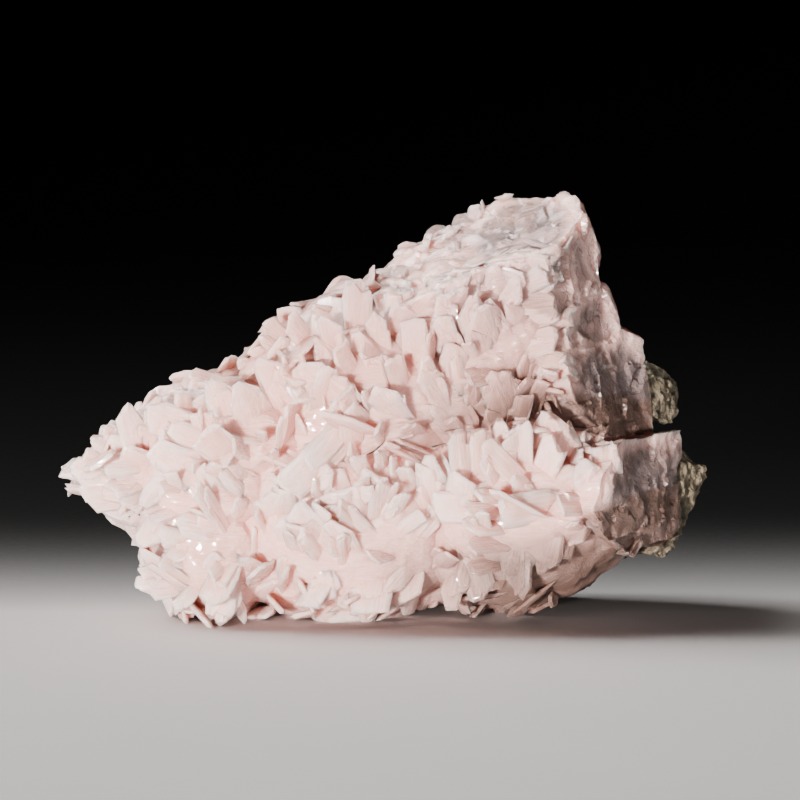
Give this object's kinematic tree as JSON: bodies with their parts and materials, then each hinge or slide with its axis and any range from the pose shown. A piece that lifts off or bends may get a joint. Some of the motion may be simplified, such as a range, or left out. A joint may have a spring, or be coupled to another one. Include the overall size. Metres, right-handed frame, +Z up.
{
  "type": "manganoan calcite cluster",
  "caption": "Mineral specimen: a crust of pale pink bladed calcite crystals on a thin sheet of brown host rock, lying on its broken underside.",
  "frame": {"origin": "middle of the bounding box on the surface that the specimen lies on", "axes": "+X along the longest side, to the right when the crystals face the viewer; +Y from the crystal face to the back; +Z up"},
  "size_m": [0.2188, 0.0992, 0.1416],
  "materials": {
    "pink_calcite": "milky pale pink calcite, waxy to glassy on crystal faces, whiter at edges, greyish where broken",
    "host_rock": "matt, granular, olive brown"
  },
  "bodies": {
    "root": {"calcite_cluster": "pink_calcite", "host_rock": "host_rock"}
  },
  "joints": []
}
